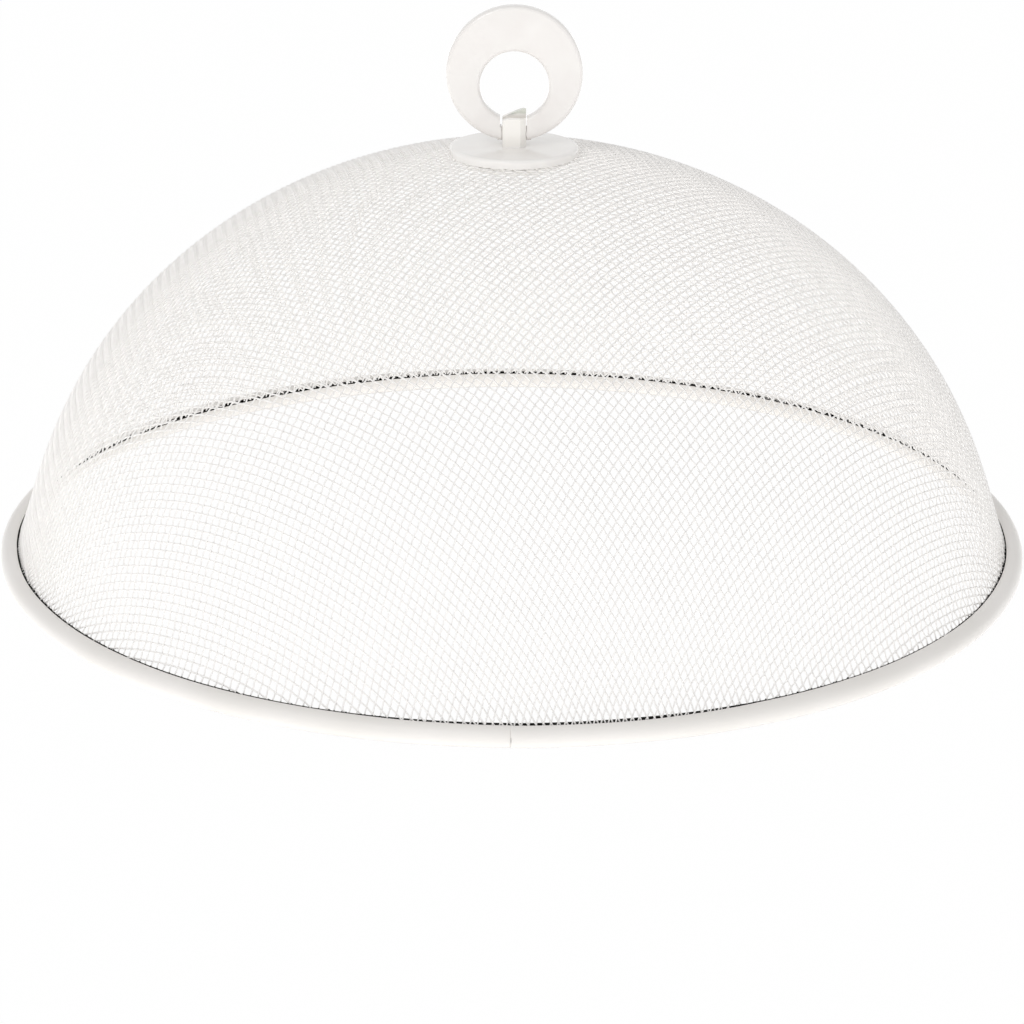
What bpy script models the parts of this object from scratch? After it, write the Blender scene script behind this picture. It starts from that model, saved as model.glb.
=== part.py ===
# Food cover: a wire cloth dome held in a rolled rim, with a ring handle that folds on its base.
# The frame is in metres with +Z up. The origin is on the resting plane, below the dome's apex,
# and the lap joint of the rim faces -Y.

import bpy
import bmesh
import math
from mathutils import Matrix, Vector

# Rim, rolled from sheet into a tube that is open along its inner shoulder
rim_outer_radius = 0.150
rim_tube_radius = 0.00315
rim_sheet = 0.0005
rim_foot_width = 0.0015
rim_slot_width = 0.0023
rim_slot_turn = math.radians(50)
lap_length = 0.014
lap_step = 0.0004
rim_steps = 56
lap_steps = 4
inner_side_steps = 3
outer_side_steps = 7

# Dome, a rounded cap that flares a little just above the rim
dome_height = 0.1185
dome_half_height = 0.133
seam_flare = 0.002
flare_height = 0.010
cloth_thickness = 0.0008
cloth_edge_depth = 0.0018

# Cloth, where each strand stands for a band of the fine wires
wire_pitch = 0.00225
wires_per_strand = 8
strand_width = 0.0014
cloth_turn = math.radians(53.5)
least_edge_share = 0.8
newton_rounds = 12

# Base of the handle, a round plate with a slotted post and a spigot below
plate_radius = 0.0183
plate_edge_height = 0.0023
plate_edge_round = 0.0009
post_width = 0.0067
post_depth = 0.0074
post_height = 0.0083
post_corner = 0.0015
post_sink = 0.0006
mouth_width = 0.0034
rear_jaw_rise = 0.0019
rear_jaw_peak_share = 0.80
spigot_radius = 0.0032
spigot_hole_radius = 0.0036
pilot_roof = 0.0007

# Ring handle, a flat ring with a low eye, a notch at the foot and a bar across the notch
ring_outer_radius = 0.0193
ring_eye_radius = 0.00975
ring_eye_drop = 0.0034
ring_thickness = 0.0042
ring_edge_round = 0.0011
bar_radius = 0.0020
bar_height = 0.0036
notch_side_gap = 0.0006
bar_joint = 0.0012

# Fixing under the cloth
washer_radius = 0.0150
washer_thickness = 0.0016
screw_head_radius = 0.0046
screw_head_height = 0.0019
screw_radius = 0.00125
screw_slot_width = 0.0009
screw_slot_depth = 0.0008
screw_tip_height = 0.0012
screw_head_shares = ((1, 1), (1, 0.6), (0.85, 0.25), (0.55, 0))

# Clearances
seat_gap = 0.0003
bar_gap = 0.0003
thread_gap = 0.0001
overrun = 0.002
merge_distance = 0.000001

# Facets of the round pieces
plate_steps = 48
washer_steps = 32
plate_round_steps = 4
bore_steps = 24
hole_steps = 20
ring_outer_steps = 40
ring_eye_steps = 26
ring_round_steps = 2

# Levels that several pieces share
tube_centre_radius = rim_outer_radius - rim_tube_radius
tube_level = math.sqrt(rim_tube_radius ** 2 - (rim_foot_width / 2) ** 2)
seam_radius = tube_centre_radius - rim_tube_radius * math.sin(rim_slot_turn)
seam_height = tube_level + rim_tube_radius * math.cos(rim_slot_turn)
dome_centre_height = dome_height - dome_half_height
seam_rise_share = (seam_height - dome_centre_height) / dome_half_height
dome_half_width = (seam_radius - seam_flare) / math.sqrt(1 - seam_rise_share ** 2)
crown_radius = dome_half_width ** 2 / dome_half_height
strand_pitch = wire_pitch * wires_per_strand
strand_sag = strand_pitch ** 2 / (8 * crown_radius)
cloth_edge_height = seam_height - cloth_edge_depth


def dome_z(radius):
    return dome_centre_height + dome_half_height * math.sqrt(1 - (radius / dome_half_width) ** 2)


def cloth_top(radius):
    return dome_z(radius) + cloth_thickness / 2 + seat_gap


def cloth_foot(radius):
    return dome_z(radius) - cloth_thickness / 2 - seat_gap - strand_sag


plate_foot = cloth_top(plate_radius)
plate_top = plate_foot + plate_edge_height
bar_level = plate_top + bar_height
washer_foot = cloth_foot(spigot_hole_radius) - washer_thickness
spigot_foot = washer_foot + seat_gap
screw_head_top = washer_foot - seat_gap


def plastic(name, colour, roughness):
    material = bpy.data.materials.new(name)
    material.use_nodes = True
    surface = material.node_tree.nodes["Principled BSDF"]
    surface.inputs["Base Color"].default_value = (*colour, 1)
    surface.inputs["Roughness"].default_value = roughness
    return material


def metal(name, colour, roughness, metallic):
    material = plastic(name, colour, roughness)
    surface = material.node_tree.nodes["Principled BSDF"]
    surface.inputs["Metallic"].default_value = metallic
    return material


def object_from(name, bm, material):
    bmesh.ops.remove_doubles(bm, verts=bm.verts, dist=merge_distance)
    bmesh.ops.recalc_face_normals(bm, faces=bm.faces)
    mesh = bpy.data.meshes.new(name)
    bm.to_mesh(mesh)
    bm.free()
    mesh.shade_smooth()
    mesh.set_sharp_from_angle(angle=math.radians(35))
    made = bpy.data.objects.new(name, mesh)
    bpy.context.scene.collection.objects.link(made)
    if material:
        mesh.materials.append(material)
    return made


def hide(helper):
    helper.hide_render = True
    helper.display_type = "WIRE"
    return helper


def boolean(target, other, operation):
    modifier = target.modifiers.new(other.name, "BOOLEAN")
    modifier.object = hide(other)
    modifier.operation = operation
    modifier.solver = "EXACT"


def bevel(target, width, segments, angle=math.radians(50)):
    modifier = target.modifiers.new("Rounded edges", "BEVEL")
    modifier.width = width
    modifier.segments = segments
    modifier.limit_method = "ANGLE"
    modifier.angle_limit = angle


def arc(centre, radius, start, end, steps):
    angles = [start + (end - start) * i / steps for i in range(steps + 1)]
    return [(centre[0] + radius * math.cos(a), centre[1] + radius * math.sin(a)) for a in angles]


def turned(name, profile, steps, material):
    bm = bmesh.new()
    points = [bm.verts.new((radius, 0, height)) for radius, height in profile]
    edges = [bm.edges.new(pair) for pair in zip(points, points[1:])]
    if profile[0][0] or profile[-1][0]:
        edges.append(bm.edges.new((points[-1], points[0])))
    bmesh.ops.spin(bm, geom=points + edges, cent=(0, 0, 0), axis=(0, 0, 1), angle=math.tau, steps=steps)
    return object_from(name, bm, material)


def extruded(name, outline, axis, low, high, material):
    # The outline is in X and Z for an extrusion along Y, and in Y and Z for one along X.
    # For one along Z it is in X and Y.
    places = {"X": lambda u, v, w: (w, u, v), "Y": lambda u, v, w: (u, w, v), "Z": lambda u, v, w: (u, v, w)}
    place = places[axis]
    bm = bmesh.new()
    face = bm.faces.new([bm.verts.new(place(u, v, low)) for u, v in outline])
    grown = bmesh.ops.extrude_face_region(bm, geom=[face])["geom"]
    moved = [item for item in grown if isinstance(item, bmesh.types.BMVert)]
    bmesh.ops.translate(bm, verts=moved, vec=place(0, 0, high - low))
    return object_from(name, bm, material)


def tube_arc(radius, level):
    """The open tube's outline in X and Z, from one lip round the flat foot to the other lip."""
    slot = math.pi / 2 + rim_slot_turn
    half_slot = math.asin(rim_slot_width / 2 / radius)
    foot = math.radians(270)
    half_foot = math.asin(rim_foot_width / 2 / rim_tube_radius)
    centre = (tube_centre_radius, level)
    inner_side = arc(centre, radius, slot + half_slot, foot - half_foot, inner_side_steps)
    outer_side = arc(centre, radius, foot + half_foot, slot - half_slot + math.tau, outer_side_steps)
    return inner_side + outer_side


def rim_section(step):
    """The rolled sheet's closed outline, where step is how far the lapped end stands proud."""
    outer_radius = rim_tube_radius + step
    outer_level = tube_level * outer_radius / rim_tube_radius
    inner_radius = rim_tube_radius - rim_sheet
    return tube_arc(outer_radius, outer_level) + tube_arc(inner_radius, tube_level)[::-1]


def rim(material):
    lap_turn = lap_length / tube_centre_radius
    plain_turn = math.tau / rim_steps
    first_plain = math.ceil(lap_turn / plain_turn)
    lap = [(lap_turn * i / lap_steps, lap_step * math.sqrt(1 - i / lap_steps)) for i in range(lap_steps)]
    plain = [(plain_turn * i, 0) for i in range(first_plain, rim_steps + 1)]
    bm = bmesh.new()
    rings = []
    for turn, step in lap + plain:
        place = Matrix.Rotation(turn - math.pi / 2, 3, "Z")
        rings.append([bm.verts.new(place @ Vector((x, 0, z))) for x, z in rim_section(step)])
    for ring, after in zip(rings, rings[1:] + rings[:1]):
        for k in range(len(ring)):
            nxt = (k + 1) % len(ring)
            bm.faces.new((ring[k], ring[nxt], after[nxt], after[k]))
    return object_from("rim", bm, material)


def cloth_gap(point):
    """Zero on the dome's surface, with its gradient, both in the unit of the dome's half axes."""
    flare = seam_flare * math.exp((seam_height - point.z) / flare_height)
    radius = math.hypot(point.x, point.y)
    across = (radius - flare) / dome_half_width ** 2
    up = (point.z - dome_centre_height) / dome_half_height ** 2
    value = across * (radius - flare) + up * (point.z - dome_centre_height) - 1
    outward = Vector((point.x, point.y, 0)) / radius
    gradient = 2 * across * outward + Vector((0, 0, 2 * up + 2 * across * flare / flare_height))
    return value, gradient


def settled(start, conditions):
    """Newton's method from start to the point where every condition is zero."""
    point = start.copy()
    for _ in range(newton_rounds):
        values, rows = zip(*(condition(point) for condition in conditions))
        point -= Matrix(rows).inverted_safe() @ Vector(values)
    return point


def at_pitch_from(node):
    return lambda point: ((point - node).length - strand_pitch, (point - node).normalized())


def in_plane(normal):
    return lambda point: (point.dot(normal), normal)


def cloth_nodes():
    """The crossings of a net of equal cells laid on the dome, in one quarter turn."""
    count = math.ceil(math.pi / 2 * dome_half_width / strand_pitch) + 1
    apex = Vector((0, 0, dome_height))
    nodes = {(0, 0): apex}
    for i in range(1, count):
        before = nodes[i - 1, 0]
        older = nodes.get((i - 2, 0), before - Vector((strand_pitch, 0, 0)))
        start = before + (before - older)
        nodes[i, 0] = settled(start, (cloth_gap, at_pitch_from(before), in_plane(Vector((0, 1, 0)))))
        nodes[0, i] = Matrix.Rotation(math.pi / 2, 3, "Z") @ nodes[i, 0]
    for i in range(1, count):
        for j in range(1, count):
            left, below, corner = (nodes.get(k) for k in ((i - 1, j), (i, j - 1), (i - 1, j - 1)))
            if not left or not below:
                continue
            if max(left.z, below.z) < -strand_pitch:
                continue
            start = left + below - corner
            found = settled(start, (cloth_gap, at_pitch_from(left), at_pitch_from(below)))
            if (found - start).length < strand_pitch:
                nodes[i, j] = found
    return nodes


def cloth(material):
    nodes = cloth_nodes()
    bm = bmesh.new()
    for quarter in range(4):
        turn = Matrix.Rotation(cloth_turn + quarter * math.pi / 2, 3, "Z")
        for i, j in nodes:
            keys = ((i, j), (i + 1, j), (i + 1, j + 1), (i, j + 1))
            corners = [nodes[k] for k in keys if k in nodes]
            if len(corners) == 4 and max(c.z for c in corners) > cloth_edge_height:
                bm.faces.new([bm.verts.new(turn @ c) for c in corners])
    bmesh.ops.remove_doubles(bm, verts=bm.verts, dist=merge_distance)
    everything = bm.verts[:] + bm.edges[:] + bm.faces[:]
    bmesh.ops.bisect_plane(
        bm, geom=everything, plane_co=(0, 0, cloth_edge_height), plane_no=(0, 0, -1), clear_outer=True
    )
    bmesh.ops.dissolve_degenerate(bm, edges=bm.edges, dist=least_edge_share * strand_width)
    windows = [face for face in bm.faces if 2 * face.calc_area() > strand_width * face.calc_perimeter()]
    bmesh.ops.inset_individual(bm, faces=windows, thickness=strand_width / 2, use_even_offset=True)
    bmesh.ops.delete(bm, geom=windows, context="FACES")
    made = object_from("mesh_dome", bm, material)
    shell = made.modifiers.new("Cloth thickness", "SOLIDIFY")
    shell.thickness = cloth_thickness
    shell.offset = 0
    shell.use_even_offset = True
    return made


def pierced(target):
    """The hole that the base's spigot passes through."""
    outline = arc((0, 0), spigot_hole_radius, 0, math.tau, hole_steps)[:-1]
    cutter = extruded("spigot_hole", outline, "Z", washer_foot - overrun, plate_top + overrun, None)
    boolean(target, cutter, "DIFFERENCE")
    return target


def base_profile():
    """The plate and the spigot below it, from the axis at the top round to the axis at the foot."""
    round_centre = (plate_radius - plate_edge_round, plate_top - plate_edge_round)
    rounded = arc(round_centre, plate_edge_round, math.pi / 2, 0, plate_round_steps)
    under_shares = (1, 0.8, 0.6, 0.4)
    hollow = [(plate_radius * share, cloth_top(plate_radius * share)) for share in under_shares]
    spigot = [(spigot_radius, cloth_top(spigot_radius)), (spigot_radius, spigot_foot), (0, spigot_foot)]
    return [(0, plate_top)] + rounded + hollow + spigot


def post(material):
    """The slotted post, with a front jaw and a higher rear jaw that slopes up to one side."""
    across = post_width / 2
    deep = post_depth / 2
    corner = post_corner
    plan = [(across - corner, -deep), (across, corner - deep), (across, deep - corner), (across - corner, deep)]
    plan += [(-x, y) for x, y in plan[::-1]]
    front_top = plate_top + post_height
    rear_top = front_top + rear_jaw_rise
    made = extruded("post", plan, "Z", plate_top - post_sink, rear_top, material)
    back = -post_depth
    above = rear_top + overrun
    step = [(back, front_top), (mouth_width / 2, front_top), (mouth_width / 2, above), (back, above)]
    boolean(made, extruded("front_jaw_cut", step, "X", -post_width, post_width, None), "DIFFERENCE")
    peak = (rear_jaw_peak_share * across, rear_top)
    slope = [(-post_width, front_top - rear_jaw_rise), peak, (peak[0], above), (-post_width, above)]
    boolean(made, extruded("rear_jaw_slope", slope, "Y", -post_depth, post_depth, None), "DIFFERENCE")
    return made


def base(material):
    made = turned("base_plate", base_profile(), plate_steps, material)
    boolean(made, post(material), "UNION")
    bore = arc((0, bar_level), bar_radius + bar_gap, 0, math.tau, bore_steps)[:-1]
    boolean(made, extruded("bar_bore", bore, "X", -post_width, post_width, None), "DIFFERENCE")
    lip = mouth_width / 2
    top = plate_top + post_height + rear_jaw_rise + overrun
    mouth = [(-lip, bar_level), (lip, bar_level), (lip, top), (-lip, top)]
    boolean(made, extruded("mouth_cut", mouth, "X", -post_width, post_width, None), "DIFFERENCE")
    pilot = arc((0, 0), screw_radius + thread_gap, 0, math.tau, hole_steps)[:-1]
    roof = bar_level - bar_radius - bar_gap - pilot_roof
    boolean(made, extruded("pilot_hole", pilot, "Z", spigot_foot - overrun, roof, None), "DIFFERENCE")
    return made


def ring(material):
    """The flat ring, upright, with its origin on the axis of the bar that it folds about."""
    notch = post_width / 2 + notch_side_gap
    low = math.radians(-90)
    outer_end = math.asin(notch / ring_outer_radius)
    eye_end = math.asin(notch / ring_eye_radius)
    centre = (0, ring_outer_radius - bar_radius)
    eye = (0, centre[1] - ring_eye_drop)
    outside = arc(centre, ring_outer_radius, low + outer_end, low - outer_end + math.tau, ring_outer_steps)
    inside = arc(eye, ring_eye_radius, low - eye_end + math.tau, low + eye_end, ring_eye_steps)
    half = ring_thickness / 2
    made = extruded("ring_handle", outside + inside, "Y", -half, half, material)
    bevel(made, ring_edge_round, ring_round_steps)
    bar = arc((0, 0), bar_radius, 0, math.tau, bore_steps)[:-1]
    reach = notch + bar_joint
    crossing = extruded("bar", bar, "X", -reach, reach, material)
    crossing.parent = made
    boolean(made, crossing, "UNION")
    made.location = (0, 0, bar_level)
    return made


def washer(material):
    shares = (0, 0.5, 1)
    radii = [spigot_hole_radius + (washer_radius - spigot_hole_radius) * share for share in shares]
    top = [(radius, cloth_foot(radius)) for radius in radii]
    foot = [(radius, cloth_foot(radius) - washer_thickness) for radius in radii[::-1]]
    return turned("backing_washer", top + foot, washer_steps, material)


def screw(material):
    tip = bar_level - bar_radius - bar_gap - pilot_roof - seat_gap
    shoulder = tip - screw_tip_height
    head_foot = screw_head_top - screw_head_height
    dome = [(screw_head_radius * share, head_foot + screw_head_height * rise) for share, rise in screw_head_shares]
    profile = [(0, tip), (screw_radius, shoulder), (screw_radius, screw_head_top)]
    made = turned("screw", profile + dome + [(0, head_foot)], hole_steps, material)
    wide = screw_head_radius
    slot = screw_slot_width / 2
    floor = head_foot + screw_slot_depth
    outline = [(-slot, head_foot - overrun), (slot, head_foot - overrun), (slot, floor), (-slot, floor)]
    boolean(made, extruded("screw_slot", outline, "X", -wide, wide, None), "DIFFERENCE")
    return made


def main():
    for old in list(bpy.data.objects):
        bpy.data.objects.remove(old, do_unlink=True)
    painted_steel = metal("White painted steel", (0.86, 0.86, 0.85), 0.35, 0.0)
    white_plastic = plastic("White plastic", (0.88, 0.87, 0.86), 0.30)
    zinc = metal("Zinc plated steel", (0.62, 0.63, 0.65), 0.35, 1.0)
    rim(painted_steel)
    pierced(cloth(painted_steel))
    base(white_plastic)
    ring(white_plastic)
    washer(white_plastic)
    screw(zinc)


main()
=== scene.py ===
# White wire food cover: woven dome, rolled rim and a folding ring handle. All sizes are in metres.
import math
import bpy
import bmesh
from mathutils import Matrix, Vector, noise


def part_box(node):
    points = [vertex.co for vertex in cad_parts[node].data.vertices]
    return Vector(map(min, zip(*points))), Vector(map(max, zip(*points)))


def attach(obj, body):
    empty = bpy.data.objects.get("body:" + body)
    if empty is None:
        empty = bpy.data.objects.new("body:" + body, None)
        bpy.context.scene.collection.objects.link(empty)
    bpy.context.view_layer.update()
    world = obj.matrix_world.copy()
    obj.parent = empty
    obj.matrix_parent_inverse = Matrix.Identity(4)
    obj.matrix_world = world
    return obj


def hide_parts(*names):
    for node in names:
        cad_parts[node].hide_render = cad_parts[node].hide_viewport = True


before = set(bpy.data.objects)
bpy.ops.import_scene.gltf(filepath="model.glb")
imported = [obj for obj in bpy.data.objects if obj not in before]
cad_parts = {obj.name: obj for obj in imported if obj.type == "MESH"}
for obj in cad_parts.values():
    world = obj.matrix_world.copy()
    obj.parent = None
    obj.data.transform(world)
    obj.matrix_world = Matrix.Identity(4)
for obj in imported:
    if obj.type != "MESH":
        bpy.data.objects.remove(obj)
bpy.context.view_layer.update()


# Small helpers that every piece uses

over = 0.002  # how far a cutter reaches past what it cuts
close = 0.0001  # what lies closer than this counts as one place
facing = 0.9  # a normal's least share along an axis that it is said to face


def deselectAll():
    if bpy.context.mode != "OBJECT":
        bpy.ops.object.mode_set(mode="OBJECT")
    bpy.ops.object.select_all(action="DESELECT")


def pick(piece):
    deselectAll()
    piece.select_set(True)
    bpy.context.view_layer.objects.active = piece
    return piece


def named(name):  # the primitive just added, with its place put into its mesh
    piece = pick(bpy.context.active_object)
    piece.name = name
    piece.data.name = name
    bpy.ops.object.transform_apply(location=True, rotation=True, scale=True)
    return piece


def selectWhere(piece, test, mode="VERT"):  # edit mode, with only what passes the test selected
    pick(piece)
    bpy.ops.object.mode_set(mode="EDIT")
    bpy.ops.mesh.select_mode(type=mode)
    bpy.ops.mesh.select_all(action="DESELECT")
    mesh = bmesh.from_edit_mesh(piece.data)
    for item in {"VERT": mesh.verts, "EDGE": mesh.edges, "FACE": mesh.faces}[mode]:
        if test(item):
            item.select_set(True)
    mesh.select_flush_mode()
    bmesh.update_edit_mesh(piece.data)


def objectMode():
    bpy.ops.object.mode_set(mode="OBJECT")


def outwardNormals(piece):
    selectWhere(piece, lambda face: True, "FACE")
    bpy.ops.mesh.normals_make_consistent(inside=False)
    objectMode()


def applied(piece, kind, **settings):
    pick(piece)
    modifier = piece.modifiers.new(kind.title(), kind)
    for name, value in settings.items():
        setattr(modifier, name, value)
    bpy.ops.object.modifier_apply(modifier=modifier.name)


def rounded(piece, width, segments, fromAngle=50):  # every edge sharper than the angle
    applied(piece, "BEVEL", width=width, segments=segments, limit_method="ANGLE",
            angle_limit=math.radians(fromAngle))


def cutWith(piece, cutter, operation="DIFFERENCE"):
    applied(piece, "BOOLEAN", object=cutter, operation=operation, solver="EXACT")
    bpy.data.objects.remove(cutter)


def block(name, low, high):
    middle = [(a + b) / 2 for a, b in zip(low, high)]
    bpy.ops.mesh.primitive_cube_add(size=1, location=middle, scale=[b - a for a, b in zip(low, high)])
    return named(name)


def rod(name, centre, radius, length, axis="Z", sides=96):
    turns = {"X": (0, math.pi / 2, 0), "Y": (math.pi / 2, 0, 0), "Z": (0, 0, 0)}
    bpy.ops.mesh.primitive_cylinder_add(
        vertices=sides, radius=radius, depth=length, location=centre, rotation=turns[axis])
    return named(name)


def finish(piece, body, node, materials, smoothAngle=32):
    pick(piece)
    bpy.ops.object.shade_smooth_by_angle(angle=math.radians(smoothAngle))
    if not piece.data.materials:
        for material in materials:
            piece.data.materials.append(material)
    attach(piece, body)
    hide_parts(node)
    print("made", piece.name, "with", len(piece.data.polygons), "faces")


# Materials

colourA, colourB, colourMix = 6, 7, 2  # where a Mix node keeps its two colours and its result
noiseLow, noiseHigh = 0.3, 0.7  # nearly all of a noise lies between these


def linear(hexColour):  # sRGB hex to the linear colour that a shader takes
    parts = [int(hexColour[i:i + 2], 16) / 255 for i in (1, 3, 5)]
    return [c / 12.92 if c <= 0.04045 else ((c + 0.055) / 1.055) ** 2.4 for c in parts] + [1]


def addNode(tree, kind, settings={}, values={}, links={}):
    node = tree.nodes.new(kind)
    for name, value in settings.items():
        setattr(node, name, value)
    for name, value in values.items():
        node.inputs[name].default_value = value
    for name, source in links.items():
        tree.links.new(source, node.inputs[name])
    return node


def surfaceOf(name, constants):  # a new material, its nodes, its shader and the object's own coordinates
    material = bpy.data.materials.new(name)
    material.use_nodes = True
    tree = material.node_tree
    shader = tree.nodes["Principled BSDF"]
    for socket, value in constants.items():
        shader.inputs[socket].default_value = value
    place = addNode(tree, "ShaderNodeTexCoord").outputs["Object"]
    return material, tree, shader, place


def twoTones(tree, factor, low, high, colours, shader):  # a colour that runs between two hex values
    ramp = addNode(tree, "ShaderNodeMapRange", {}, {"From Min": low, "From Max": high}, {"Value": factor})
    mix = addNode(tree, "ShaderNodeMix", {"data_type": "RGBA"}, {}, {"Factor": ramp.outputs["Result"]})
    mix.inputs[colourA].default_value = linear(colours[0])
    mix.inputs[colourB].default_value = linear(colours[1])
    tree.links.new(mix.outputs[colourMix], shader.inputs["Base Color"])


def roughBetween(tree, factor, low, high, shader):
    span = addNode(tree, "ShaderNodeMapRange", {}, {
        "From Min": noiseLow, "From Max": noiseHigh, "To Min": low, "To Max": high}, {"Value": factor})
    tree.links.new(span.outputs["Result"], shader.inputs["Roughness"])


def bumpFrom(tree, height, strength, distance, shader):
    bump = addNode(tree, "ShaderNodeBump", {}, {"Strength": strength, "Distance": distance},
                   {"Height": height})
    tree.links.new(bump.outputs["Normal"], shader.inputs["Normal"])


def perMetre(millimetres):  # the texture scale whose features are this long
    return 1000 / millimetres


def bakedEnamelOnWire():
    # White stoving enamel dipped over steel wire. It gives rounded, half glossy wires with a warm cast
    # and thicker, slightly darker paint every few millimetres.
    material, tree, shader, place = surfaceOf("baked enamel on steel wire", {"IOR": 1.5})
    pools = addNode(tree, "ShaderNodeTexNoise", {}, {"Scale": perMetre(6), "Detail": 3}, {"Vector": place})
    twoTones(tree, pools.outputs["Fac"], noiseLow, noiseHigh, ("#f1efed", "#f6f4f2"), shader)
    roughBetween(tree, pools.outputs["Fac"], 0.42, 0.30, shader)
    runs = addNode(tree, "ShaderNodeTexNoise", {}, {"Scale": perMetre(0.5), "Detail": 1}, {"Vector": place})
    bumpFrom(tree, runs.outputs["Fac"], 0.25, 0.00003, shader)
    return material


def bakedEnamelOnSheet():
    # The same enamel on rolled sheet steel. It gives a satin gloss with a fine orange peel, and long
    # faint waves where the rollers passed.
    material, tree, shader, place = surfaceOf(
        "baked enamel on rolled sheet", {"IOR": 1.5, "Specular IOR Level": 0.3})
    waves = addNode(tree, "ShaderNodeTexNoise", {}, {"Scale": perMetre(35), "Detail": 2}, {"Vector": place})
    twoTones(tree, waves.outputs["Fac"], 0.35, 0.65, ("#e4e1dd", "#e9e6e3"), shader)
    roughBetween(tree, waves.outputs["Fac"], 0.46, 0.38, shader)
    peel = addNode(tree, "ShaderNodeTexNoise", {}, {"Scale": perMetre(1.3), "Detail": 2}, {"Vector": place})
    both = addNode(tree, "ShaderNodeMath", {"operation": "MULTIPLY_ADD"}, {1: 3.0},
                   {0: waves.outputs["Fac"], 2: peel.outputs["Fac"]})
    bumpFrom(tree, both.outputs["Value"], 0.35, 0.00004, shader)
    return material


def bareSteelWithSlotShade():
    # The roll's inside, which the paint did not reach: dull mill scale, given a nearly black tone that also
    # paints in the shade of the narrow slot.
    material, tree, shader, place = surfaceOf("near-black bare steel as painted slot shade", {"Metallic": 0.6})
    scale = addNode(tree, "ShaderNodeTexNoise", {}, {"Scale": perMetre(2), "Detail": 4}, {"Vector": place})
    twoTones(tree, scale.outputs["Fac"], noiseLow, noiseHigh, ("#1c1b1a", "#34322f"), shader)
    roughBetween(tree, scale.outputs["Fac"], 0.55, 0.75, shader)
    return material


def mouldedPlastic(name, tones, lightAndShadeBands=()):
    # Injection moulded ABS from a polished tool. It gives a clear gloss, very faint flow lines and
    # a slightly warm white. Each band is a height from which it takes another tone that paints light or shade
    # onto the plastic, with a ragged border.
    material, tree, shader, place = surfaceOf(name, {"IOR": 1.54})
    flow = addNode(tree, "ShaderNodeTexNoise", {}, {"Scale": perMetre(9), "Detail": 2, "Distortion": 0.6},
                   {"Vector": place})
    twoTones(tree, flow.outputs["Fac"], noiseLow, noiseHigh, tones, shader)
    roughBetween(tree, flow.outputs["Fac"], 0.09, 0.13, shader)
    if lightAndShadeBands:
        border = 0.0006
        height = addNode(tree, "ShaderNodeSeparateXYZ", {}, {}, {"Vector": place}).outputs["Z"]
        borderNoise = addNode(tree, "ShaderNodeTexNoise", {}, {"Scale": perMetre(1.2), "Detail": 2},
                         {"Vector": place})
        level = addNode(tree, "ShaderNodeMath", {"operation": "MULTIPLY_ADD"}, {1: border},
                        {0: borderNoise.outputs["Fac"], 2: height})
    # painted light and shade: each band lays its tone over the plastic above its height
    for start, tone in lightAndShadeBands:
        below = shader.inputs["Base Color"].links[0].from_socket
        share = addNode(tree, "ShaderNodeMapRange", {}, {"From Min": start, "From Max": start + border},
                        {"Value": level.outputs["Value"]})
        mix = addNode(tree, "ShaderNodeMix", {"data_type": "RGBA"}, {}, {"Factor": share.outputs["Result"]})
        tree.links.new(below, mix.inputs[colourA])
        mix.inputs[colourB].default_value = linear(tone)
        tree.links.new(mix.outputs[colourMix], shader.inputs["Base Color"])
    skin = addNode(tree, "ShaderNodeTexNoise", {}, {"Scale": perMetre(0.6), "Detail": 2}, {"Vector": place})
    bumpFrom(tree, skin.outputs["Fac"], 0.12, 0.00002, shader)
    return material


def mattePlastic():
    # A low density polythene washer from a spark eroded tool: soft white with a fine even grain.
    material, tree, shader, place = surfaceOf("matte white polythene", {"IOR": 1.51})
    cloud = addNode(tree, "ShaderNodeTexNoise", {}, {"Scale": perMetre(7), "Detail": 2}, {"Vector": place})
    twoTones(tree, cloud.outputs["Fac"], noiseLow, noiseHigh, ("#e6e4df", "#ecebe7"), shader)
    roughBetween(tree, cloud.outputs["Fac"], 0.50, 0.58, shader)
    grain = addNode(tree, "ShaderNodeTexNoise", {}, {"Scale": perMetre(0.35), "Detail": 2}, {"Vector": place})
    bumpFrom(tree, grain.outputs["Fac"], 0.30, 0.00003, shader)
    return material


def zincPlate():
    # Bright zinc on a turned steel head: grey metal with rings left by the heading die.
    material, tree, shader, place = surfaceOf("bright zinc plated steel", {"Metallic": 1.0})
    cloud = addNode(tree, "ShaderNodeTexNoise", {}, {"Scale": perMetre(1.5), "Detail": 3}, {"Vector": place})
    twoTones(tree, cloud.outputs["Fac"], noiseLow, noiseHigh, ("#b9bcc0", "#cfd2d6"), shader)
    roughBetween(tree, cloud.outputs["Fac"], 0.26, 0.38, shader)
    rings = addNode(tree, "ShaderNodeTexWave", {"wave_type": "RINGS", "rings_direction": "Z"},
                    {"Scale": perMetre(1.2), "Distortion": 0.4}, {"Vector": place})
    bumpFrom(tree, rings.outputs["Fac"], 0.15, 0.00002, shader)
    return material


wireEnamel = bakedEnamelOnWire()
sheetEnamel = bakedEnamelOnSheet()
bareSteelAndSlotShade = bareSteelWithSlotShade()
ringPlastic = mouldedPlastic("moulded white ABS of the ring", ("#ece8e5", "#efece9"))
washerPlastic = mattePlastic()
zinc = zincPlate()
print("materials ready")


# Rolled rim. The slot wanders round the roll as on the real one: each row is an azimuth from +X in
# degrees, how far the slot is turned inboard from the top in degrees, its width, how far the inner
# lip stands up out of the round, and where across the slot the cloth sits, from -1 outboard to 1.

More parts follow.
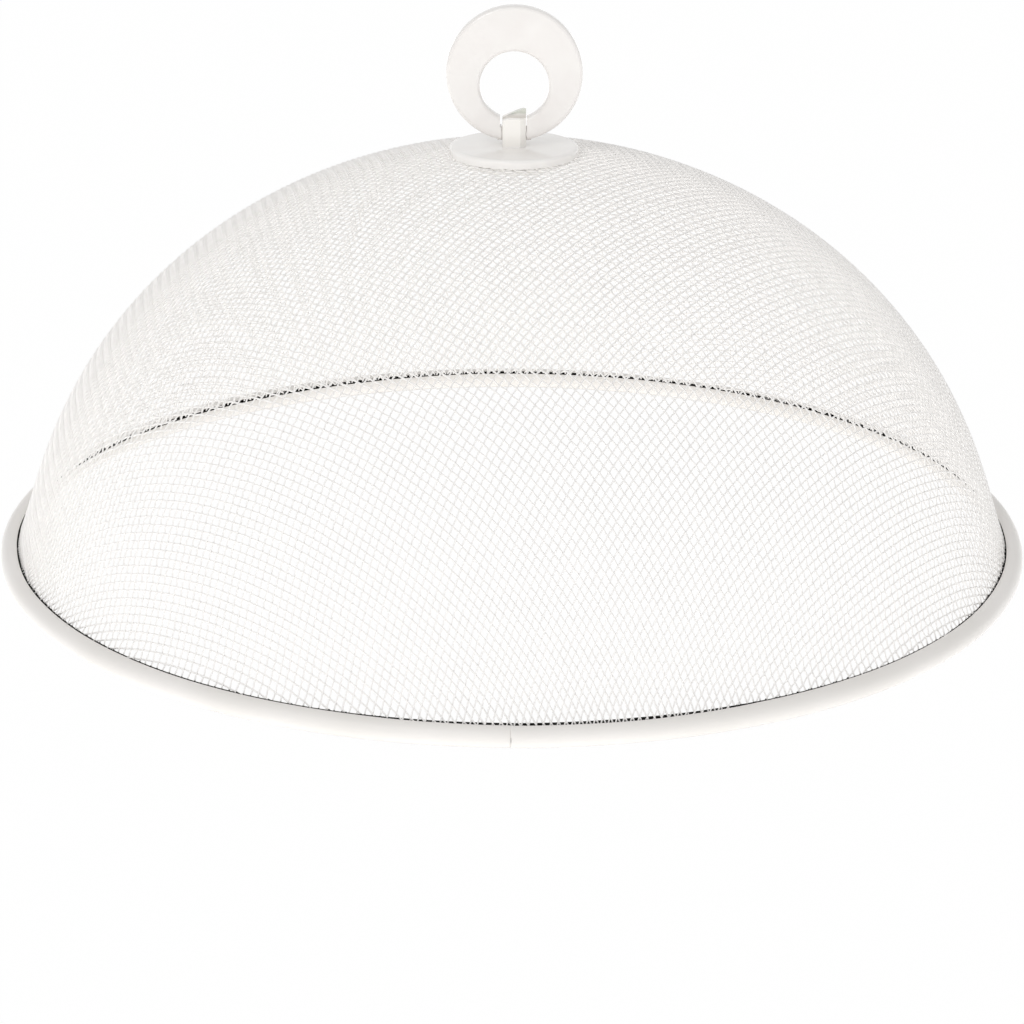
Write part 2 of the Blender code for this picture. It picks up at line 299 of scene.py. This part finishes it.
rimSizes = {
    "outerRadius": 0.150, "tubeRadius": 0.00315, "sheet": 0.0005, "footWidth": 0.0015,
    "sectionPoints": 72, "turnSteps": 288, "openPoints": 6, "lipRound": 0.00012,
    "lapLength": 0.014, "lapStep": 0.0004, "lapMark": 0.00012, "lapMarkTurn": 20, "lapGap": 0.00002,
    "lipFade": 9,  # the inner lip's rise is gone after a ninth of the section
    "slot": [
        (0, 44, 0.0010, 0, 0.3), (30, 38, 0.0010, 0, 0), (60, 32, 0.0009, 0, 0),
        (90, 36, 0.0009, 0, 0), (120, 48, 0.0010, 0, 0), (150, 48, 0.0010, 0, 0.2),
        (172, 45, 0.0010, 0, 0.4), (188, 41, 0.0011, 0, 0.4), (205, 30, 0.0012, 0, 0.4),
        (222, 20, 0.0011, 0, 0.5), (236, 13, 0.0009, 0, 0.6), (252, 11, 0.0008, 0, 0.5),
        (262, 11, 0.0016, 0.0001, -0.2), (269, 9, 0.0020, 0.0001, -0.4), (283, 8, 0.0021, 0.0002, -0.4),
        (290, 11, 0.0018, 0.0001, -0.2), (298, 13, 0.0009, 0, 0.4), (310, 17, 0.0007, 0, 0.7),
        (325, 27, 0.0008, 0, 0.7), (342, 39, 0.0010, 0, 0.5)],
}
tubeRadius = rimSizes["tubeRadius"]
tubeCentre = rimSizes["outerRadius"] - tubeRadius
tubeLevel = math.sqrt(tubeRadius ** 2 - (rimSizes["footWidth"] / 2) ** 2)


def slotAt(azimuth):
    # The slot's turn and half width, both as angles round the roll, the inner lip's rise and the cloth's seat
    turned = math.degrees(azimuth) % 360
    rows = rimSizes["slot"] + [(360,) + rimSizes["slot"][0][1:]]
    for before, after in zip(rows, rows[1:]):
        if before[0] <= turned <= after[0]:
            share = (turned - before[0]) / (after[0] - before[0])
            ease = share * share * (3 - 2 * share)
            turn, width, rise, seat = (a + (b - a) * ease for a, b in zip(before[1:], after[1:]))
            return math.radians(turn), math.asin(width / 2 / tubeRadius), rise, seat


def makeRim():
    points = rimSizes["sectionPoints"]
    bpy.ops.mesh.primitive_circle_add(
        vertices=points, radius=tubeRadius, location=(0, -tubeCentre, tubeLevel), rotation=(0, math.pi / 2, 0))
    rim = named("rolledRim")
    openHalf = math.pi * rimSizes["openPoints"] / points
    selectWhere(rim, lambda vert: abs(math.atan2(vert.co.y + tubeCentre, vert.co.z - tubeLevel)) < openHalf)
    bpy.ops.mesh.delete(type="VERT")
    bpy.ops.mesh.select_all(action="SELECT")
    bpy.ops.mesh.spin(
        steps=rimSizes["turnSteps"], angle=math.tau, use_auto_merge=False, center=(0, 0, 0), axis=(0, 0, 1))
    objectMode()
    shape = bmesh.new()
    shape.from_mesh(rim.data)
    same = 1e-6
    starts = [vert.co.y < 0 and abs(vert.co.x) < same
              and sum(edge.other_vert(vert).co.x for edge in vert.link_edges) > same for vert in shape.verts]
    rolls = [math.atan2(tubeCentre - math.hypot(vert.co.x, vert.co.y), vert.co.z - tubeLevel) % math.tau
             for vert in shape.verts]
    firstRoll, lastRoll = min(rolls), max(rolls)
    for vert, isStart, roll in zip(shape.verts, starts, rolls):
        azimuth = math.atan2(vert.co.y, vert.co.x)
        turn, half, rise, _ = slotAt(azimuth)
        share = (roll - firstRoll) / (lastRoll - firstRoll)
        newRoll = turn + half + share * (math.tau - 2 * half)
        along = tubeCentre * ((azimuth + math.pi / 2) % math.tau)
        proud = 0
        if isStart or (vert.co.x > same and along < rimSizes["lapLength"]):
            proud = rimSizes["lapStep"] * math.sqrt(1 - (0 if isStart else along) / rimSizes["lapLength"])
        radius = tubeCentre + proud / 2 - (tubeRadius + proud / 2) * math.sin(newRoll)
        height = tubeLevel + tubeRadius * math.cos(newRoll) + rise * max(0, 1 - share * rimSizes["lipFade"])
        side = 0
        if isStart:  # the two ends part a little on the front face, which shows as a short dark mark
            fromFront = math.degrees(newRoll - 1.5 * math.pi) / rimSizes["lapMarkTurn"]
            side = rimSizes["lapMark"] * max(0, 1 - abs(fromFront) ** 3) + rimSizes["lapGap"]
        vert.co = (radius * math.cos(azimuth) + side, radius * math.sin(azimuth), max(height, 0))
    shape.to_mesh(rim.data)
    shape.free()
    outwardNormals(rim)
    middle = rim.data.polygons[len(rim.data.polygons) // 2]
    core = Vector((middle.center.x, middle.center.y, 0)).normalized() * tubeCentre + Vector((0, 0, tubeLevel))
    if (middle.center - core).dot(middle.normal) < 0:  # an open section may still have come out inside out
        rim.data.flip_normals()
    rim.data.materials.append(sheetEnamel)
    rim.data.materials.append(bareSteelAndSlotShade)
    # the inner shell and the sheet's cut edges take the near-black bare steel, which also paints shade into the
    # slot
    applied(rim, "SOLIDIFY", thickness=rimSizes["sheet"], offset=-1, use_even_offset=True,
            material_offset=1, material_offset_rim=1)
    for face in rim.data.polygons:  # the lap's own two ends are painted
        if abs(face.normal.x) > facing and abs(face.center.x) < 10 * close and face.center.y < 0:
            face.material_index = 0
    rounded(rim, rimSizes["lipRound"], 2, 60)
    finish(rim, "cover", "rim", [])


# Wire cloth. The net of equal cells is laid out from the crown, one quarter turn at a time, and each
# crossing lifts one wire and lowers the other. The net runs on below the seam, to netFoot, and its
# wires are cut off inside the roll.

clothSizes = {
    "pitch": 0.00225, "wireRadius": 0.00023, "height": 0.1185, "halfHeight": 0.133, "turn": math.radians(53.5),
    "seamTurn": math.radians(50), "seamFlare": 0.002, "flareHeight": 0.010, "lipFlareHeight": 0.0034,
    "edgeDepth": 0.0018, "holeRadius": 0.0042, "sway": 0.00013, "swayLength": 0.016, "swayApart": 7.3,
    "swaySeed": 1, "rounds": 6, "spareCells": 6, "netFoot": -0.004,
}
pitch = clothSizes["pitch"]
seamRadius = tubeCentre - tubeRadius * math.sin(clothSizes["seamTurn"])
seamHeight = tubeLevel + tubeRadius * math.cos(clothSizes["seamTurn"])
domeCentre = clothSizes["height"] - clothSizes["halfHeight"]
seamShare = (seamHeight - domeCentre) / clothSizes["halfHeight"]
domeWidth = (seamRadius - clothSizes["seamFlare"]) / math.sqrt(1 - seamShare ** 2)


def domeZ(radius):
    return domeCentre + clothSizes["halfHeight"] * math.sqrt(1 - (radius / domeWidth) ** 2)


def flareAt(height):
    return clothSizes["seamFlare"] * math.exp((seamHeight - height) / clothSizes["flareHeight"])


def clothRadius(height):
    return flareAt(height) + domeWidth * math.sqrt(1 - ((height - domeCentre) / clothSizes["halfHeight"]) ** 2)


def clothGap(point):  # zero on the dome, with its gradient
    flare = flareAt(point.z)
    radius = math.hypot(point.x, point.y)
    across = (radius - flare) / domeWidth ** 2
    up = (point.z - domeCentre) / clothSizes["halfHeight"] ** 2
    value = across * (radius - flare) + up * (point.z - domeCentre) - 1
    outward = Vector((point.x, point.y, 0)) / max(radius, 1e-9)
    return value, 2 * across * outward + Vector((0, 0, 2 * up + 2 * across * flare / clothSizes["flareHeight"]))


def settled(start, conditions):  # Newton's method to the point where every condition is zero
    point = start.copy()
    for _ in range(clothSizes["rounds"]):
        values, rows = zip(*(condition(point) for condition in conditions))
        point -= Matrix(rows).inverted_safe() @ Vector(values)
    return point


def oneCellFrom(knot):
    return lambda point: ((point - knot).length - pitch, (point - knot).normalized())


def clothKnots():
    count = math.ceil(math.pi / 2 * domeWidth / pitch) + clothSizes["spareCells"]
    knots = {(0, 0): Vector((0, 0, clothSizes["height"]))}
    ahead = lambda point: (point.y, Vector((0, 1, 0)))
    for i in range(1, count):
        before = knots[i - 1, 0]
        older = knots.get((i - 2, 0), before - Vector((pitch, 0, 0)))
        knots[i, 0] = settled(before + (before - older), (clothGap, oneCellFrom(before), ahead))
        knots[0, i] = Matrix.Rotation(math.pi / 2, 3, "Z") @ knots[i, 0]
    for i in range(1, count):
        for j in range(1, count):
            left, below, corner = (knots.get(k) for k in ((i - 1, j), (i, j - 1), (i - 1, j - 1)))
            if not left or not below or max(left.z, below.z) < clothSizes["netFoot"]:
                continue
            start = left + below - corner
            found = settled(start, (clothGap, oneCellFrom(left), oneCellFrom(below)))
            if (found - start).length < pitch:
                knots[i, j] = found
    return knots


def seatTurnAt(point):  # the angle round the roll at which the cloth goes in
    turn, half, _, seat = slotAt(math.atan2(point.y, point.x))
    return turn + half * seat


def mouthAt(point):  # how high the cloth stands there
    return tubeLevel + tubeRadius * math.cos(seatTurnAt(point))


def edgeAt(point):  # how high the cloth's edge stands inside the roll
    turn = slotAt(math.atan2(point.y, point.x))[0]
    return tubeLevel + tubeRadius * math.cos(turn) - clothSizes["edgeDepth"]


def wirePoint(point, lift, strand):  # where a wire passes, with its own slow sway and the flare into the slot
    radius = math.hypot(point.x, point.y)
    normal = clothGap(point)[1].normalized()
    apart = Vector((0, 0, clothSizes["swayApart"] * strand))
    sway = noise.noise_vector(point / clothSizes["swayLength"] + apart) * clothSizes["sway"]
    sway -= normal * sway.dot(normal)
    mouth = mouthAt(point)
    reach = tubeCentre - tubeRadius * math.sin(seatTurnAt(point)) - clothRadius(mouth)
    push = reach * math.exp(-max(0, point.z - mouth) / clothSizes["lipFlareHeight"])
    outward = Vector((point.x, point.y, 0)) / max(radius, 1e-9)
    return point + normal * (lift * clothSizes["wireRadius"]) + sway + outward * push


def wirePath(keys, placed, strand, flip):  # one wire, cut off at the cloth's edge and clear of the centre hole
    def passing(key):
        lift = 1 if (key[0] + key[1] + strand + flip) % 2 else -1
        return wirePoint(placed[key], lift, (strand + flip) % 2)

    path = []
    for order, key in enumerate(keys):
        if key not in placed:
            break
        if placed[key].xy.length < clothSizes["holeRadius"]:
            continue
        spot = passing(key)
        if order == 0:  # where two quarters meet, each ends half a cell from the bend, in line with the other
            beside = (-1, key[1]) if strand == 0 else keys[1]
            if beside in placed:
                path.append((spot + passing(beside)) / 2)
            if strand:
                continue
        low = edgeAt(spot)
        for level in (mouthAt(spot), low):  # a point where the wire enters the roll, and one at its end
            if path and path[-1].z > level > spot.z:
                path.append(path[-1].lerp(spot, (path[-1].z - level) / (path[-1].z - spot.z)))
        if spot.z < low:
            break
        path.append(spot)
    return path


def makeCloth():
    noise.seed_set(clothSizes["swaySeed"])  # otherwise the clock would seed it
    knots = clothKnots()
    span = max(max(key) for key in knots) + 1
    print("net laid with", len(knots), "crossings in a quarter")
    for quarter in range(4):
        turn = Matrix.Rotation(clothSizes["turn"] + quarter * math.pi / 2, 3, "Z")
        placed = {key: turn @ spot for key, spot in knots.items()}
        for j in range(1, span):  # the next quarter's first column, towards which the border's wires run on
            if (j, 1) in knots:
                placed[-1, j] = turn @ (Matrix.Rotation(math.pi / 2, 3, "Z") @ knots[j, 1])
        flip = quarter % 2
        paths = [wirePath([(i, j) for i in range(span)], placed, 0, flip) for j in range(span)]
        paths += [wirePath([(i, j) for j in range(span)], placed, 1, flip) for i in range(1, span)]
        paths = [path for path in paths if len(path) > 1]
        spots = [tuple(spot) for path in paths for spot in path]
        joins, first = [], 0
        for path in paths:
            joins += [(first + k, first + k + 1) for k in range(len(path) - 1)]
            first += len(path)
        name = f"wireCloth{quarter + 1}"
        mesh = bpy.data.meshes.new(name)
        mesh.from_pydata(spots, joins, [])
        cloth = bpy.data.objects.new(name, mesh)
        bpy.context.scene.collection.objects.link(cloth)
        pick(cloth)
        bpy.ops.object.convert(target="CURVE")
        cloth = bpy.context.active_object
        cloth.data.bevel_depth = clothSizes["wireRadius"]
        cloth.data.bevel_resolution = 1
        cloth.data.use_fill_caps = True
        bpy.ops.object.convert(target="MESH")
        cloth = bpy.context.active_object
        cloth.name = cloth.data.name = name
        cloth.data.materials.clear()
        cloth.data.materials.append(wireEnamel)
        cloth.data.materials.append(bareSteelAndSlotShade)
        for face in cloth.data.polygons:  # where the slot is tight the wires inside it are bare like the roll, and their near-black tone also paints the slot's shade onto them
            seat = slotAt(math.atan2(face.center.y, face.center.x))[-1]
            if face.center.z < mouthAt(face.center) and seat >= 0:
                face.material_index = 1
        finish(cloth, "cover", "mesh_dome", [], 75)


# Handle base: a round plate that follows the dome below, a slotted post above and a spigot through the cloth

baseSizes = {
    "plateRadius": 0.0183, "plateEdge": 0.0023, "plateRound": 0.0009, "footRound": 0.00025,
    "clothThickness": 0.0008, "seatGap": 0.0003, "skirtGap": 0.00047, "skirtFrom": 0.8, "skirtShare": 0.17,
    "undersideRing": 0.0036, "spigotRadius": 0.0032, "pilotRadius": 0.00135, "pilotLength": 0.0086,
    "postWidth": 0.0067, "postDepth": 0.0074, "postHeight": 0.0083, "postSink": 0.0006,
    "leftCorner": 0.0010, "rightCorner": 0.0016, "mouthWidth": 0.0034, "rearRise": 0.0019,
    "peakShare": 0.80, "edgeRound": 0.00022, "barRadius": 0.0020, "barGap": 0.0003, "barHeight": 0.0036,
    "bandRise": 0.0004,
}
plateFoot = domeZ(baseSizes["plateRadius"]) + baseSizes["clothThickness"] / 2 + baseSizes["seatGap"]
plateTop = plateFoot + baseSizes["plateEdge"]
barLevel = plateTop + baseSizes["barHeight"]
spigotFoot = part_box("base_plate")[0].z


def makeBase():
    radius, edge = baseSizes["plateRadius"], baseSizes["plateEdge"]
    base = rod("handleBase", (0, 0, plateFoot + edge / 2), radius, edge, sides=160)
    selectWhere(base, lambda line: all(vert.co.z > plateFoot + edge / 2 for vert in line.verts), "EDGE")
    bpy.ops.mesh.bevel(offset=baseSizes["plateRound"], segments=6, affect="EDGES")
    selectWhere(base, lambda line: all(vert.co.z < plateFoot + close for vert in line.verts), "EDGE")
    bpy.ops.mesh.bevel(offset=baseSizes["footRound"], segments=3, affect="EDGES")
    selectWhere(base, lambda face: face.normal.z < -facing and len(face.verts) > 20, "FACE")
    ringStep, rings = baseSizes["undersideRing"], 3
    lastStep = radius - baseSizes["footRound"] - rings * ringStep - baseSizes["spigotRadius"]
    for step in [ringStep] * rings + [lastStep]:
        bpy.ops.mesh.inset(thickness=step)
    bpy.ops.mesh.extrude_region_move(TRANSFORM_OT_translate={"value": (0, 0, -close)})
    shape = bmesh.from_edit_mesh(base.data)
    for vert in shape.verts:
        # The underside follows the cloth, its edge sits on the wires, and the last ring is the spigot's foot
        across = math.hypot(vert.co.x, vert.co.y)
        if vert.select:
            vert.co.z = spigotFoot
        elif vert.co.z < plateFoot + 4 * close:
            skirtStart, skirtSpan = baseSizes["skirtFrom"] * radius, baseSizes["skirtShare"] * radius
            edgeShare = max(0, min(1, (across - skirtStart) / skirtSpan))
            gap = baseSizes["clothThickness"] / 2 + baseSizes["seatGap"]
            gap += (baseSizes["skirtGap"] - gap) * edgeShare
            vert.co.z += domeZ(min(across, radius)) + gap - plateFoot
    bmesh.update_edit_mesh(base.data)
    objectMode()

    wide, deep = baseSizes["postWidth"] / 2, baseSizes["postDepth"] / 2
    frontTop = plateTop + baseSizes["postHeight"]
    rearTop = frontTop + baseSizes["rearRise"]
    post = block("post", (-wide, -deep, plateTop - baseSizes["postSink"]), (wide, deep, rearTop))
    for side, corner, segments in ((-1, "leftCorner", 3), (1, "rightCorner", 1)):
        def isCorner(line):
            low, high = (vert.co for vert in line.verts)
            return abs(low.z - high.z) > over and low.x * side > wide - close
        selectWhere(post, isCorner, "EDGE")
        bpy.ops.mesh.bevel(offset=baseSizes[corner], segments=segments, affect="EDGES")
        objectMode()
    mouth = baseSizes["mouthWidth"] / 2
    cutWith(post, block("frontJawCut", (-wide * 2, -deep * 2, frontTop), (wide * 2, mouth, rearTop + over)))
    slope = block("rearJawSlope", (-wide * 2, -deep * 2, rearTop), (wide * 2, deep * 2, rearTop + 3 * over))
    peak = baseSizes["peakShare"] * wide
    shape = bmesh.new()
    shape.from_mesh(slope.data)
    for vert in shape.verts:  # a wedge that rises to the peak on the right
        if vert.co.x > 0:
            vert.co.x = peak
        elif vert.co.z < rearTop + over:
            vert.co.z = frontTop - baseSizes["rearRise"]
    shape.to_mesh(slope.data)
    shape.free()
    cutWith(post, slope)
    bore = baseSizes["barRadius"] + baseSizes["barGap"]
    cutWith(post, rod("barBore", (0, 0, barLevel), bore, wide * 4, "X", 64))
    cutWith(post, block("mouthCut", (-wide * 2, -mouth, barLevel), (wide * 2, mouth, rearTop + over)))
    rounded(post, baseSizes["edgeRound"], 2)
    cutWith(base, post, "UNION")
    pilot = rod("pilotHole", (0, 0, spigotFoot), baseSizes["pilotRadius"], baseSizes["pilotLength"], sides=32)
    cutWith(base, pilot)
    base.data.validate()  # drops the faces that the cuts left twice
    rise = baseSizes["bandRise"]
    lightAndShadeBands = [(plateTop + rise, "#f9f6f1"), (frontTop + rise, "#dddfd5")]  # a whiter post as painted light on its upright faces, and its peak painted grey as the shade in the clip's mouth
    basePlastic = mouldedPlastic("moulded white ABS of the base", ("#f5f2ef", "#f8f6f3"), lightAndShadeBands)
    finish(base, "cover", "base_plate", [basePlastic])


# Ring handle: a flat ring with a low eye, and a bar across the notch at its foot

ringSizes = {
    "outerRadius": 0.0193, "eyeRadius": 0.00975, "eyeDrop": 0.0034, "thickness": 0.0042, "edgeRound": 0.0011,
    "notchLeft": 0.0040, "notchRight": 0.0036, "footGap": 0.00025, "notchRound": 0.00018,
    "barJoint": 0.0012, "barRadius": 0.0020,
}


def makeRing():
    half = ringSizes["thickness"] / 2
    centre = barLevel + ringSizes["outerRadius"] - ringSizes["barRadius"]
    ring = rod("ringHandle", (0, 0, centre), ringSizes["outerRadius"], 2 * half, "Y", 192)
    eye = (0, 0, centre - ringSizes["eyeDrop"])
    cutWith(ring, rod("eye", eye, ringSizes["eyeRadius"], 4 * half, "Y", 128))
    rounded(ring, ringSizes["edgeRound"], 6)
    foot = baseSizes["postWidth"] / 2 + ringSizes["footGap"]
    barTop = barLevel + ringSizes["barRadius"]
    cutWith(ring, block("notch", (-foot, -2 * half, barLevel - 2 * over), (foot, 2 * half, eye[2])))
    left, right = ringSizes["notchLeft"], ringSizes["notchRight"]
    cutWith(ring, block("notchTop", (-left, -2 * half, barTop), (right, 2 * half, eye[2])))
    rounded(ring, ringSizes["notchRound"], 2)
    reach = foot + ringSizes["barJoint"]
    cutWith(ring, rod("bar", (0, 0, barLevel), ringSizes["barRadius"], 2 * reach, "X", 48), "UNION")
    finish(ring, "ring", "ring_handle", [ringPlastic], 28)


# Fixing below the cloth: a dished washer and a slotted screw

fixingSizes = {
    "washerRadius": 0.0150, "washerHole": 0.0036, "washerThickness": 0.0016, "washerRound": 0.00035,
    "headRadius": 0.0046, "headHeight": 0.0019, "headRound": 0.0014, "edgeRound": 0.00008,
    "shankRadius": 0.00125, "slotWidth": 0.0009, "slotDepth": 0.0008,
}


def makeWasher():
    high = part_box("backing_washer")[1]
    radius, thick = fixingSizes["washerRadius"], fixingSizes["washerThickness"]
    washer = rod("backingWasher", (0, 0, high.z - thick / 2), radius, thick, sides=128)
    cutWith(washer, rod("washerHole", (0, 0, high.z), fixingSizes["washerHole"], 4 * thick, sides=64))
    for side in (1, -1):
        selectWhere(washer, lambda face: face.normal.z * side > facing, "FACE")
        bpy.ops.mesh.dissolve_faces()
        objectMode()
    rounded(washer, fixingSizes["washerRound"], 3)
    sag = high.z - domeZ(fixingSizes["washerHole"])
    shape = bmesh.new()
    shape.from_mesh(washer.data)
    for vert in shape.verts:  # dished to the dome's own curve
        vert.co.z += domeZ(math.hypot(vert.co.x, vert.co.y)) + sag - high.z
    shape.to_mesh(washer.data)
    shape.free()
    finish(washer, "cover", "backing_washer", [washerPlastic])


def makeScrew():
    low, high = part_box("screw")
    thick = fixingSizes["headHeight"]
    headTop = low.z + thick
    head = rod("slottedScrew", (0, 0, low.z + thick / 2), fixingSizes["headRadius"], thick, sides=64)
    selectWhere(head, lambda line: all(vert.co.z < low.z + close for vert in line.verts), "EDGE")
    bpy.ops.mesh.bevel(offset=fixingSizes["headRound"], segments=6, affect="EDGES")
    objectMode()
    shank = rod("shank", (0, 0, (headTop + high.z) / 2 - close), fixingSizes["shankRadius"],
                high.z - headTop + 2 * close, sides=32)  # starts inside the head, so that they join
    cutWith(head, shank, "UNION")
    slot, reach = fixingSizes["slotWidth"] / 2, fixingSizes["headRadius"] + over
    slotTop = low.z + fixingSizes["slotDepth"]
    cutWith(head, block("screwSlot", (-reach, -slot, low.z - over), (reach, slot, slotTop)))
    rounded(head, fixingSizes["edgeRound"], 2)
    finish(head, "cover", "screw", [zinc])


# Stage: pale floor, soft daylight from all round, one large soft lamp and the camera

stageSizes = {
    "floorSize": 8.0, "floorColour": "#fbfbfa", "floorGlow": 0.988, "floorRough": 0.9, "floorGloss": 0.2,
    "skyLow": 0.92, "skyHigh": 0.805,
    "sideShade": 0.7,  # darker to both sides, as flags make it around a white object
    "lampPlace": (-0.80, -1.50, 1.35), "lampAim": (0, 0, 0.05), "lampSize": 0.8, "lampPower": 8.0,
    "tableLevel": 0.00002, "tableSize": 3.0, "tablePower": 17.6,
    "cameraPlace": (0, -0.90944, 0.34739), "cameraTilt": math.radians(90 - 20.40),
    "cameraRoll": math.radians(0.322), "focalPixels": 3277.6, "framePixels": 1024, "sensorWidth": 36,
    "nearest": 0.01,
}


def seenRays(tree):  # one for rays from the camera, a mirror or clear glass, and nought for the rest
    path = addNode(tree, "ShaderNodeLightPath")
    first = addNode(tree, "ShaderNodeMath", {"operation": "MAXIMUM"}, {},
                    {0: path.outputs["Is Camera Ray"], 1: path.outputs["Is Glossy Ray"]})
    return addNode(tree, "ShaderNodeMath", {"operation": "MAXIMUM"}, {},
                   {0: first.outputs["Value"], 1: path.outputs["Is Transmission Ray"]}).outputs["Value"]


def makeFloor():
    bpy.ops.mesh.primitive_plane_add(size=stageSizes["floorSize"], location=(0, 0, 0))
    floor = named("floor")
    material = bpy.data.materials.new("pale studio floor")
    material.use_nodes = True
    tree = material.node_tree
    shader = tree.nodes["Principled BSDF"]
    shader.inputs["Base Color"].default_value = linear(stageSizes["floorColour"])
    shader.inputs["Roughness"].default_value = stageSizes["floorRough"]
    shader.inputs["Specular IOR Level"].default_value = stageSizes["floorGloss"]
    glow = addNode(tree, "ShaderNodeEmission", {}, {"Strength": 1.0})
    share = addNode(tree, "ShaderNodeMath", {"operation": "MULTIPLY"}, {1: stageSizes["floorGlow"]},
                    {0: seenRays(tree)})
    mix = addNode(tree, "ShaderNodeMixShader", {}, {},
                  {0: share.outputs["Value"], 1: shader.outputs["BSDF"], 2: glow.outputs["Emission"]})
    tree.links.new(mix.outputs["Shader"], tree.nodes["Material Output"].inputs["Surface"])
    floor.data.materials.append(material)


def makeWorld():
    world = bpy.data.worlds.new("studio")
    bpy.context.scene.world = world
    world.use_nodes = True
    tree = world.node_tree
    light = tree.nodes["Background"]
    light.inputs["Color"].default_value = (1, 1, 1, 1)
    direction = addNode(tree, "ShaderNodeTexCoord").outputs["Generated"]
    parts = addNode(tree, "ShaderNodeSeparateXYZ", {}, {}, {"Vector": direction}).outputs
    level = addNode(tree, "ShaderNodeMapRange", {}, {
        "From Min": 0.0, "From Max": 1.0, "To Min": stageSizes["skyLow"], "To Max": stageSizes["skyHigh"]},
        {"Value": parts["Z"]})
    squared = addNode(tree, "ShaderNodeMath", {"operation": "MULTIPLY"}, {}, {0: parts["X"], 1: parts["X"]})
    shade = addNode(tree, "ShaderNodeMath", {"operation": "MULTIPLY_ADD"},
                    {1: -stageSizes["sideShade"], 2: 1.0}, {0: squared.outputs["Value"]})
    both = addNode(tree, "ShaderNodeMath", {"operation": "MULTIPLY"}, {},
                   {0: level.outputs["Result"], 1: shade.outputs["Value"]})
    tree.links.new(both.outputs["Value"], light.inputs["Strength"])
    white = addNode(tree, "ShaderNodeBackground", {}, {"Color": (1, 1, 1, 1), "Strength": 1.0})
    mix = addNode(tree, "ShaderNodeMixShader", {}, {},
                  {0: seenRays(tree), 1: light.outputs["Background"], 2: white.outputs["Background"]})
    tree.links.new(mix.outputs["Shader"], tree.nodes["World Output"].inputs["Surface"])


def makeLampAndCamera():
    place = Vector(stageSizes["lampPlace"])
    aim = (Vector(stageSizes["lampAim"]) - place).to_track_quat("-Z", "Y").to_euler()
    bpy.ops.object.light_add(type="AREA", location=place, rotation=aim)
    lamp = bpy.context.active_object
    lamp.name = "softLamp"
    lamp.data.size = stageSizes["lampSize"]
    lamp.data.energy = stageSizes["lampPower"]
    place = (0, 0, stageSizes["tableLevel"])  # a lit table below, as in catalogue pictures
    bpy.ops.object.light_add(type="AREA", location=place, rotation=(math.pi, 0, 0))
    table = bpy.context.active_object
    table.name = "litTable"
    table.data.size = stageSizes["tableSize"]
    table.data.energy = stageSizes["tablePower"]
    table.visible_camera = False
    bpy.ops.object.camera_add(location=stageSizes["cameraPlace"])
    camera = bpy.context.active_object
    camera.name = "camera"
    camera.matrix_world = (Matrix.Translation(stageSizes["cameraPlace"])
                           @ Matrix.Rotation(stageSizes["cameraTilt"], 4, "X")
                           @ Matrix.Rotation(stageSizes["cameraRoll"], 4, "Z"))
    camera.data.sensor_width = stageSizes["sensorWidth"]
    camera.data.lens = stageSizes["focalPixels"] / stageSizes["framePixels"] * stageSizes["sensorWidth"]
    camera.data.clip_start = stageSizes["nearest"]
    bpy.context.scene.camera = camera
    bpy.context.scene.view_settings.view_transform = "Standard"


deselectAll()
makeRim()
makeCloth()
makeBase()
makeRing()
makeWasher()
makeScrew()
makeFloor()
makeWorld()
makeLampAndCamera()
print("stage ready")
